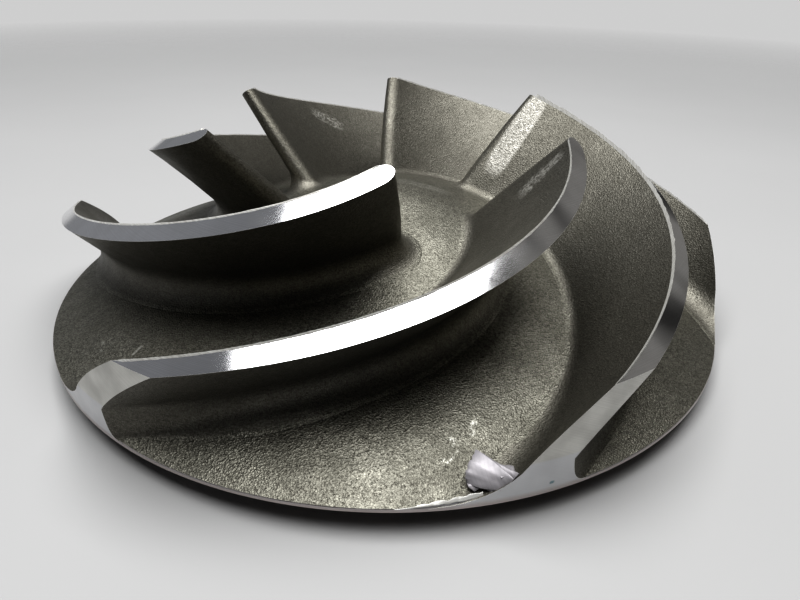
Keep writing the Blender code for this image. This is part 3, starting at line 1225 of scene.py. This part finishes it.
def makeFloor():
    deselectAll()
    bpy.ops.mesh.primitive_plane_add(size=studio["floorSize"], location=(0, 0, -studio["floorDrop"]))
    floor = nameActive("floor")
    material, tree, shader = startMaterial("paleFloor")
    place = objectPlace(tree, (-900, 0))
    cloud = addNoise(tree, place, 6, 2.0, (-700, 0))
    darker, paler = ([channel * share for channel in studio["floorColour"]] for share in (0.97, 1.03))
    feed(tree, shader.inputs["Base Color"], mixColours(tree, cloud, darker, paler, (-400, 0)))
    shader.inputs["Roughness"].default_value = studio["floorRoughness"]
    # the floor fades into the background with its distance from the part
    reach = addNode(tree, "ShaderNodeVectorMath", (-700, 300), {0: place}, operation="LENGTH")
    fade = remap(tree, reach.outputs["Value"], *studio["floorFade"], 0.0, 1.0, (-500, 300))
    clear = addNode(tree, "ShaderNodeBsdfTransparent", (0, 300))
    blend = addNode(tree, "ShaderNodeMixShader", (300, 150), {0: fade, 1: shader.outputs[0], 2: clear.outputs[0]})
    feed(tree, tree.nodes["Material Output"].inputs["Surface"], blend.outputs[0])
    floor.data.materials.append(material)


def makeWorld():
    world = bpy.data.worlds.new("softRoom")
    bpy.context.scene.world = world
    world.use_nodes = True
    tree = world.node_tree
    tree.nodes.clear()
    place = addNode(tree, "ShaderNodeTexCoord", (-900, 0)).outputs["Generated"]
    shares = []
    for i, (way, low, high) in enumerate((studio["roomLobe"], studio["sideLobe"])):
        inputs = {0: place, 1: way}
        towards = addNode(tree, "ShaderNodeVectorMath", (-700, -250 * i), inputs, operation="DOT_PRODUCT")
        shares.append(remap(tree, towards.outputs["Value"], low, high, 0.0, 1.0, (-500, -250 * i)))
    patches = addNoise(tree, place, studio["patchScale"], 1.0, (-700, -500))
    uneven = remap(tree, patches, *studio["patchRange"], (-500, -500))
    side = calculate(tree, "MULTIPLY", shares[1], uneven, (-320, -300))
    colour = mixColours(tree, side, studio["roomDark"], studio["sideLight"], (-150, -200))
    colour = mixColours(tree, shares[0], colour, studio["roomLight"], (-150, 0))
    room = addNode(tree, "ShaderNodeBackground", (0, 0), {"Color": colour})
    plain = addNode(tree, "ShaderNodeBackground", (0, -200), {"Color": (*studio["background"], 1.0)})
    path = addNode(tree, "ShaderNodeLightPath", (0, 300))
    inputs = {0: path.outputs["Is Camera Ray"], 1: room.outputs[0], 2: plain.outputs[0]}
    either = addNode(tree, "ShaderNodeMixShader", (250, 0), inputs)
    addNode(tree, "ShaderNodeOutputWorld", (450, 0), {"Surface": either.outputs[0]})


def makeLight():
    deselectAll()
    x, y = studio["panelPlace"]
    bpy.ops.object.light_add(type="AREA", location=(x, y, studio["panelHeight"]))
    panel = bpy.context.object
    panel.name = "overheadPanel"
    panel.data.shape = "RECTANGLE"
    panel.data.size, panel.data.size_y = studio["panelSize"]
    panel.rotation_euler.z = math.radians(studio["panelTurn"])
    panel.data.energy = studio["panelPower"]


def makeCamera():
    deselectAll()
    bpy.ops.object.camera_add(location=studio["cameraPlace"])
    camera = bpy.context.object
    camera.data.lens = studio["lens"]
    camera.data.sensor_width = studio["sensorWidth"]
    look = Vector(studio["cameraLook"]).normalized()
    level = look.cross(Vector((0, 0, 1))).normalized()
    upright = level.cross(look)
    roll = math.radians(studio["cameraRoll"])
    right = level * math.cos(roll) + upright * math.sin(roll)
    up = right.cross(look)
    camera.rotation_mode = "QUATERNION"
    camera.rotation_quaternion = Matrix((right, up, -look)).transposed().to_quaternion()
    camera.data.clip_start = 0.01
    bpy.context.scene.camera = camera


makeFloor()
makeWorld()
makeLight()
makeCamera()
bpy.context.scene.view_settings.view_transform = "Standard"
bpy.context.scene.view_settings.look = "High Contrast"
print("stage, light and camera set")
